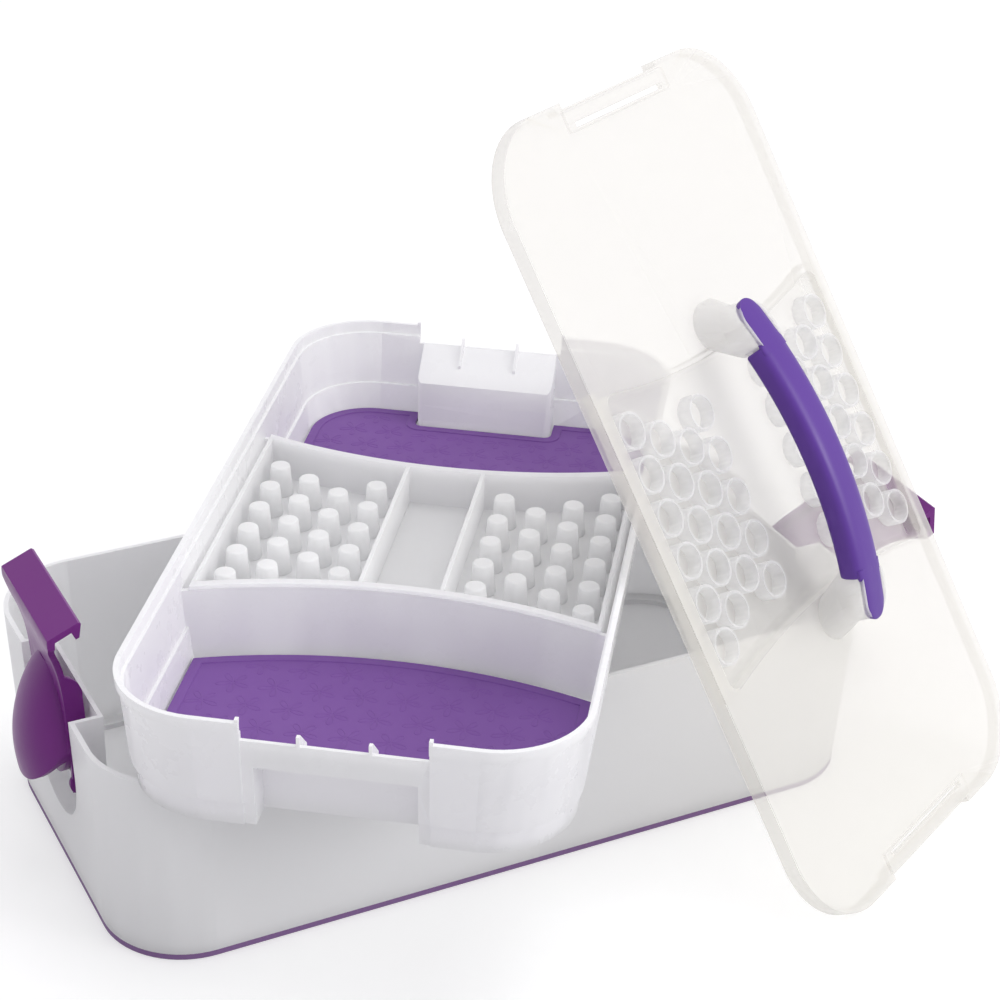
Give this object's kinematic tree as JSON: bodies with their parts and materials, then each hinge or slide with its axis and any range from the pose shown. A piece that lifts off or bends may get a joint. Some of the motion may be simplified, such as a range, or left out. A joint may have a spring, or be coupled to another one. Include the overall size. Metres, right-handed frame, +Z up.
{
  "type": "bottle organizer case",
  "caption": "Carry case shown unpacked: open base with a hinged latch at each end, lift-out tray with pegs and soft mats, and a leaning lid with rings and a handle.",
  "frame": {"origin": "centre of the base's flat underside, on the surface it stands on", "axes": "+Z up, +X along the base's long side, -Y the long side that faces the viewer"},
  "size_m": [0.5024, 0.4222, 0.3526],
  "materials": {
    "white_plastic": "satin white, opaque",
    "clear_plastic": "milky translucent",
    "purple_plastic": "satin purple",
    "purple_soft": "matt purple",
    "purple_mat": "matt purple, embossed",
    "grip_soft": "satin purple",
    "pin_steel": "plain"
  },
  "bodies": {
    "base": {"base_shell": "white_plastic", "foot_band": "purple_soft", "hinge_pin_left": "pin_steel", "hinge_pin_right": "pin_steel"},
    "latch_left": {"latch_left": "purple_plastic"},
    "latch_right": {"latch_right": "purple_plastic"},
    "tray": {"tray_shell": "white_plastic", "peg_insert": "clear_plastic", "insert_pegs": "clear_plastic", "mat_front": "purple_mat", "mat_back": "purple_mat"},
    "lid": {"lid_shell": "clear_plastic", "lid_rings": "clear_plastic", "handle_frame": "clear_plastic", "handle_grip": "grip_soft"}
  },
  "joints": [
    {"name": "latch_left_hinge", "type": "hinge", "parent": "base", "child": "latch_left", "pos_m": [-0.198, 0, 0.06], "axis": [0, -1, 0], "range_deg": [-3, 77]},
    {"name": "latch_right_hinge", "type": "hinge", "parent": "base", "child": "latch_right", "pos_m": [0.198, 0, 0.06], "axis": [0, 1, 0], "range_deg": [-64, 16]},
    {"name": "tray_lift", "type": "slide", "parent": "base", "child": "tray", "axis": [0.1003, 0.7519, 0.6516], "range_m": [0, 0.35]},
    {"name": "lid_lift", "type": "slide", "parent": "base", "child": "lid", "axis": [0.3959, -0.751, 0.5284], "range_m": [0, 0.3]}
  ]
}
